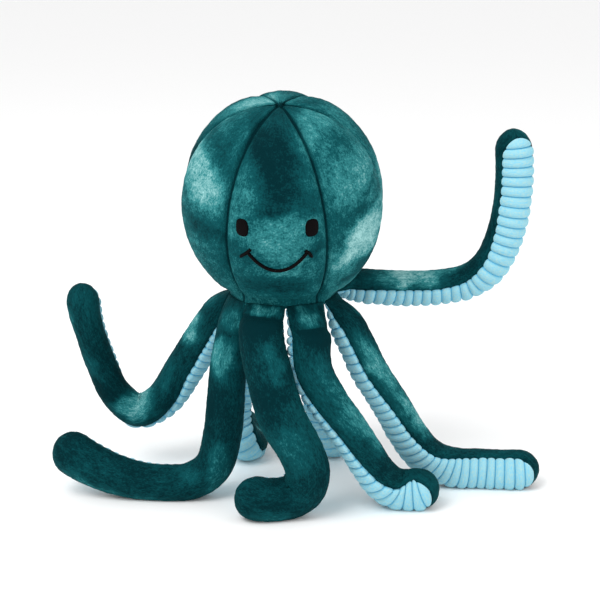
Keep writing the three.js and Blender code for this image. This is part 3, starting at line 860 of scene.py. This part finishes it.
# Head
head = {
    "width": 0.130,
    "height": 0.142,
    "tilt": math.radians(20),
    "turn": math.radians(-3.5),
    "goreNames": ("front", "front_right", "back_right", "back", "back_left", "front_left"),
    "columnsPerGore": 14,
    "bagRows": 60,
    "swellPasses": 3,
    "goreGrid": (34, 84),
    "crowding": 2,
    "seamDip": 0.0016,
    "dipSharpness": 6,
    "seamDepth": 0.0017,
    "seamShoulder": 0.0024,
    "crownSeam": 0.5,  # this share of the seams' depth is left at the crown
    "crownSeamReach": (0.03, 0.25),  # angles from the crown, like the next reaches
    "calmReach": (0.05, 0.6),  # the swell fades in, so that the crown stays smooth
    "crownPinch": 0.0005,
    "pinchReach": 0.16,
    "crownDrop": 0.0012,  # the crown is a little flat
    "dropReach": 0.75,
    "neckReach": 0.007,  # over this length the gores turn down into the sewn roots
    "rimDrop": 0.0015,
    "rimGap": 0.0003,  # clear of the roots, upwards and outwards
    "tuftHeight": 0.0003,
    "tuftSize": 0.0035,
    # painted shade down in the seams' grooves
    "seamShade": 1.0,
    "shadeReach": (0.0002, 0.001),
    "sideBlend": 5,  # the front fades into the back over twice this (mm)
    "backPatch": 0.035,  # size of the free patches on the back
    "backLean": 1.6,
    "backTone": 0.15,
    "firstBolt": 11,
}
# painted sheen and shade on the front of the head, pale where the pile leans to the light and dark where it
# leans away: across and up from its middle (mm), half sizes, turn, strength
headSheenAndShade = (
    (-2, 60, 16, 16, 0, -0.8), (6, 44, 14, 10, 0, -0.4), (-16, 40, 8, 12, 20, 0.4),
    (-20, 30, 8, 9, 0, 0.3), (10, 34, 22, 7, -12, -0.4), (-4, 27, 14, 4, 14, -0.4),
    (1, 10, 27, 14, 0, 0.35), (6, 22, 22, 6, -8, 0.15), (25, 2, 6, 9, 0, -0.7), (-24, 2, 6, 7, 0, -0.3),
    (0, -14, 17, 3, 0, 0.3), (-14, -7, 5, 3, -40, 0.5), (15, -7, 5, 3, 40, 0.5),
    (0, -26, 26, 7, 0, -0.4), (-54, 36, 18, 16, 20, 1.0), (-41, 32, 12, 13, 10, 0.6),
    (-46, 6, 20, 6, 0, -0.6), (-44, -16, 20, 14, 0, -0.1), (-40, 54, 9, 10, 40, -0.3),
    (-42, 64, 12, 8, 40, 0.5), (40, 52, 8, 16, 35, -0.3), (44, 40, 17, 20, 20, 0.5),
    (50, 20, 14, 3, 35, -0.25), (54, -2, 12, 17, -30, 1.5), (40, -16, 8, 8, -30, 0.8),
    (50, -32, 16, 7, 30, -0.7), (44, -44, 14, 8, 0, 0.3), (24, 60, 14, 12, -30, 0.4),
    (-2, 45, 26, 20, 0, -0.2),
)
headColumns = head["columnsPerGore"] * len(head["goreNames"])
goreHalf = math.pi / len(head["goreNames"])
rimHeight = seamHeight + cloth["foldRadius"] + head["rimGap"]


def headPlacing():
    upright, sideways = math.cos(head["tilt"]), math.sin(head["tilt"])
    halfHeight = math.hypot(head["height"] / 2 * upright, head["width"] / 2 * sideways)
    drop = halfHeight * math.sqrt(1 - (2 * ringRoot.length / head["width"]) ** 2)
    lean = drop * (head["height"] ** 2 - head["width"] ** 2) / 4
    lean *= sideways * upright / halfHeight ** 2
    turn = Matrix.Rotation(head["turn"], 4, "Z")
    centre = Vector((ringCentre.x, ringCentre.y, rimHeight + drop)) + turn.to_3x3() @ Vector((0, -lean, 0))
    return Matrix.Translation(centre) @ turn @ Matrix.Rotation(head["tilt"], 4, "X")


headFrame = headPlacing()


def neckPolar(longitude):
    # the angle from the crown at which the head's cloth meets the ring of arms
    way = headFrame.to_3x3().row[2]
    sideways = head["width"] / 2 * (way.x * np.sin(longitude) - way.y * np.cos(longitude))
    upright = head["height"] / 2 * way.z
    level = (rimHeight - headFrame.translation.z) / np.hypot(sideways, upright)
    return np.arctan2(sideways, upright) + np.arccos(np.clip(level, -1, 1))


def headBag():
    column = np.arange(headColumns)
    longitude = (column / head["columnsPerGore"] - 0.5) * 2 * goreHalf
    polar = np.linspace(1, 0, head["bagRows"])[:, None] * neckPolar(longitude)
    toSeam = np.abs((column / head["columnsPerGore"] % 1) * 2 - 1)
    drawnIn = stuffing["slim"] + head["seamDip"] * toSeam ** head["dipSharpness"] * np.sin(polar)
    around = (head["width"] / 2 - drawnIn) * np.sin(polar)
    up = (head["height"] / 2 - drawnIn) * np.cos(polar)
    local = np.stack([around * np.sin(longitude), -around * np.cos(longitude), up], axis=-1)
    grid = local @ np.array(headFrame.to_3x3()).T + np.array(headFrame.translation)
    swell = blowUp("head_bag", grid, head["columnsPerGore"]) - grid
    for _ in range(head["swellPasses"]):  # evens out the small wrinkles along the held seams
        swell = (np.roll(swell, 1, axis=1) + 2 * swell + np.roll(swell, -1, axis=1)) / 4
        swell[1:-1] = (swell[:-2] + 2 * swell[1:-1] + swell[2:]) / 4
    grid += swell * smoothStep(*head["calmReach"], polar)[..., None]
    return {"grid": grid, "columns": headColumns}


def headPlace(longitude, polar):
    row = (1 - polar / neckPolar(longitude)) * (head["bagRows"] - 1)
    column = (longitude / (2 * goreHalf) + 0.5) * head["columnsPerGore"]
    return row, column


def rootEdge(points):
    # the place straight out from each point on the eight-sided line of the sewn roots
    x, y = points[:, 0] - ringCentre.x, points[:, 1] - ringCentre.y
    side = 2 * math.pi / len(armRoutes)
    angle = np.arctan2(y, x)
    off = (angle - math.atan2(ringRoot.y, ringRoot.x) + side / 2) % side - side / 2
    radius = ringRoot.length / np.cos(off) + head["rimGap"]
    x, y = ringCentre.x + radius * np.cos(angle), ringCentre.y + radius * np.sin(angle)
    return np.stack([x, y, np.full(len(x), seamHeight - head["rimDrop"])], axis=1)


def headGore(index, name, bag):
    def place(acrossShare, alongShare):
        side = crowded(acrossShare, head["crowding"])
        longitude = (2 * index + side) * goreHalf
        start = neckPolar(longitude)
        polar = start * (1 - alongShare)
        toSeam = (1 - np.abs(side)) * goreHalf * head["width"] / 2 * np.sin(polar)
        toNeck = alongShare * start * head["height"] / 2
        row, column = headPlace(longitude, polar)
        depth = head["seamDepth"] * atLeast(head["crownSeam"], smoothStep(*head["crownSeamReach"], polar))
        height = -depth * (1 - smoothStep(0, head["seamShoulder"], toSeam))
        height -= head["crownPinch"] * (1 - smoothStep(0, head["pinchReach"], polar))
        height -= head["crownDrop"] * (1 - smoothStep(0, head["dropReach"], polar))
        surface = surfaceAt(bag, row, column)
        height += tufts(surface, head["tuftSize"], index) * head["tuftHeight"]
        points = raised(bag, row, column, height)
        points += (rootEdge(points) - points) * (1 - smoothStep(0, head["neckReach"], toNeck))[:, None]
        crown = alongShare > 1 - 1e-6
        sunk = head["seamDepth"] * head["crownSeam"] + head["crownPinch"] + head["crownDrop"]
        axes = np.array(headFrame.to_3x3())
        points[crown] = surface[crown] - axes[:, 2] * sunk
        front = (surface - np.array(headFrame.translation)) @ axes * toMm
        facing = smoothStep(-head["sideBlend"], head["sideBlend"], -front[:, 1])
        # the lean mark becomes painted sheen and shade in the pile's colour
        lean = paintedSheenAndShade(headSheenAndShade, front[:, 0], front[:, 2]) * facing
        back = tufts(surface, head["backPatch"], seed=7) * head["backLean"] + head["backTone"]
        lean += back * (1 - facing)
        # painted shade along the seams
        lean -= head["seamShade"] * (1 - smoothStep(*head["shadeReach"], toSeam))
        return points, {"lean": lean, "bolt": np.full(len(side), index + head["firstBolt"])}

    size = (head["width"] * goreHalf, head["height"] * math.pi / 2)
    piece = addWall(gridMesh(f"gore_{name}", *head["goreGrid"], size, place))
    dress(piece, "head", "plush", plushMaterial, f"head_gore_{name}")


def headStuffing(bag):
    def place(acrossShare, alongShare):
        height = np.full(len(alongShare), -fibres["headDepth"])
        points = raised(bag, alongShare * (head["bagRows"] - 1), acrossShare * headColumns, height)
        crown = alongShare > 1 - 1e-6
        points[crown] = points[crown].mean(axis=0)
        points[alongShare == 0] = points[alongShare == 0].mean(axis=0)
        return points, fibreMarks(points)

    size = (head["width"] * math.pi, head["height"] * math.pi / 2)
    piece = gridMesh("head_stuffing", *fibres["headGrid"], size, place)
    dress(piece, "head", "stuffing", fibreMaterial, "head_filling")


# Face: satin stitch raised off the front gore. Millimetres across and up from the head's centre.
face = {
    "centre": 1.0,
    "eyeSpacing": 42.3,
    "eyeHeight": 16.2,
    "eyeWidth": 8.4,
    "eyeTall": 11.3,
    "smileWidth": 35.4,
    "smileTop": 0.6,
    "smileDrop": 11.5,
    "thread": 1.05,
    "wall": 0.6,
    "rise": 0.9,
    "sink": 0.1,
    "eyeCorner": 0.09,  # how far the eyes fill out towards their corners
    "eyeBottom": 0.94,  # their lower half is a little shorter
    "eyeDome": 4,
    "eyeWeave": (0.0082, 0.011),
    "eyeGrid": (18, 22),
    "lineEnd": 0.9,  # how round the ends of a line of stitches are
    "lineColumns": 8,
    "lineRows": 2,  # to a millimetre
    "smilePoints": 41,
    "tickThread": 0.9,
    "tickBend": (0.5, 0.3),
    "ticks": (((-15.1, 3.2), (-21.7, -3.4)), ((17.8, 2.4), (21.7, -2.8))),
}


def onFace(bag, across, up, lift):
    polar = np.arccos(up / (head["height"] * toMm / 2))
    longitude = np.arcsin(across / (head["width"] * toMm / 2 * np.sin(polar)))
    row, column = headPlace(longitude, polar)
    return raised(bag, row, column, lift / toMm)


def stitched(piece, *nodes):
    addWall(piece, face["wall"] / toMm)
    dress(piece, "head", "embroidery", threadMaterial, *nodes)


def sewEye(bag, side):
    def place(acrossShare, alongShare):
        x, y = discPlaces(acrossShare, alongShare)
        out = np.sqrt(x * x + y * y)
        rise = face["rise"] * np.sqrt(np.maximum(1 - out ** face["eyeDome"], 0)) - face["sink"]
        corner = 1 + face["eyeCorner"] * (2 * x * y / np.maximum(out, 1e-6) ** 2) ** 2
        x, y = x * corner, y * corner * np.where(y < 0, face["eyeBottom"], 1)
        across = face["centre"] + side * face["eyeSpacing"] / 2 + face["eyeWidth"] / 2 * x
        up = face["eyeHeight"] + face["eyeTall"] / 2 * y
        # the thread is painted darker towards the eye's rim, as shade on its rounded edge
        return onFace(bag, across, up, rise), {"crest": 1 - out ** 3}

    name = "left" if side < 0 else "right"
    stitched(gridMesh(f"eye_{name}", *face["eyeGrid"], face["eyeWeave"], place), f"{name}_eye")


def sewLine(bag, name, route, width, *nodes):
    # a raised line of stitches along a route of (across, up) points
    route = np.array(route)
    gone = lengthAlong(route)
    slope = np.gradient(route, gone, axis=0)

    def place(acrossShare, alongShare):
        distance = alongShare * gone[-1]
        x, y, dx, dy = (np.interp(distance, gone, values) for values in (*route.T, *slope.T))
        steep = np.hypot(dx, dy)
        side = 2 * acrossShare - 1
        ending = 1 - np.clip(np.minimum(distance, gone[-1] - distance) / (width / 2), 0, 1)
        offset = side * width / 2 * np.sqrt(1 - ending ** 2 * face["lineEnd"])
        rise = face["rise"] * np.sqrt(np.maximum(1 - side ** 2, 0)) - face["sink"]
        points = onFace(bag, x - offset * dy / steep, y + offset * dx / steep, rise)
        # the thread is painted darker towards the line's sides, as shade on its rounded edges
        return points, {"crest": 1 - side ** 2}

    rows = round(gone[-1] * face["lineRows"])
    size = (width / toMm, gone[-1] / toMm)
    stitched(gridMesh(name, face["lineColumns"], rows, size, place), *nodes)


def sewFace(bag):
    for side in (-1, 1):
        sewEye(bag, side)
    share = np.linspace(-1, 1, face["smilePoints"])
    smile = np.stack([
        face["centre"] + face["smileWidth"] / 2 * share,
        face["smileTop"] - face["smileDrop"] * (1 - share ** 2),
    ], axis=1)
    sewLine(bag, "smile_line", smile, face["thread"], "smile")
    for name, (start, end) in zip(("left", "right"), face["ticks"]):
        middle = (np.array(start) + end) / 2 + face["tickBend"]
        sewLine(bag, f"smile_tick_{name}", [start, middle, end], face["thread"] * face["tickThread"])


# Base panel under the stuffing, inside the ring of arms
base = {"gap": 0.001, "sag": 0.0025, "ribDepth": 0.0007, "grid": (40, 90)}


def basePanel():
    low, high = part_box("base_panel")
    radius = (high.x - low.x) / 2 - base["gap"]

    def place(acrossShare, alongShare):
        x, y = discPlaces(acrossShare, alongShare)
        # painted shade down in the grooves between the ribs
        crest = np.abs(np.cos(math.pi * y * radius / ribs["pitch"]))
        z = high.z - base["sag"] * (1 - x * x - y * y) - crest * base["ribDepth"]
        return np.stack([ringCentre.x + x * radius, ringCentre.y + y * radius, z], axis=1), {"crest": crest}

    piece = addWall(gridMesh("base_cloth", *base["grid"], (2 * radius, 2 * radius), place))
    dress(piece, "head", "ribbed_fabric", panelMaterial, "base_panel")


bag = headBag()
for index, name in enumerate(head["goreNames"]):
    headGore(index, name, bag)
headStuffing(bag)
sewFace(bag)
basePanel()
print("head sewn:", len(head["goreNames"]), "gores, face and base")


# Studio
studio = {
    "floorSize": 60.0,
    "floor": {"Base Color": tint("#fbfbfb"), "Roughness": 0.9},
    "daylight": 0.95,
    "lens": 85.0,
    "cameraPlace": (0.01088, -0.90295, 0.37378),
    "cameraPitch": 75.0,
    "lights": (  # name, place, target, size and power
        ("key", (-0.8, -0.9, 1.6), (0, 0, 0.15), 1.0, 20),
        ("fill", (1.3, -0.7, 0.9), (0, 0, 0.12), 1.2, 4),
    ),
}


def softLight(name, place, target, size, power):
    light = bpy.data.lights.new(name, "AREA")
    light.size = size
    light.energy = power
    lamp = addObject(name, light)
    lamp.location = place
    lamp.rotation_euler = (Vector(target) - Vector(place)).to_track_quat("-Z", "Y").to_euler()


def buildStudio():
    bm = bmesh.new()
    bmesh.ops.create_grid(bm, x_segments=1, y_segments=1, size=studio["floorSize"] / 2)
    floor = fromMesh("floor", bm)
    floor.data.materials.append(newMaterial("white floor", studio["floor"]))
    world = bpy.data.worlds.new("studio")
    world.use_nodes = True
    background = world.node_tree.nodes["Background"]
    background.inputs["Color"].default_value = (1, 1, 1, 1)
    background.inputs["Strength"].default_value = studio["daylight"]
    scene.world = world
    for light in studio["lights"]:
        softLight(*light)
    camera = bpy.data.cameras.new("camera")
    camera.lens = studio["lens"]
    viewer = addObject("camera", camera)
    viewer.location = Vector((ringCentre.x, ringCentre.y, 0)) + Vector(studio["cameraPlace"])
    viewer.rotation_euler = (math.radians(studio["cameraPitch"]), 0, 0)
    scene.camera = viewer
    scene.view_settings.view_transform = "Standard"


buildStudio()
print("studio set")
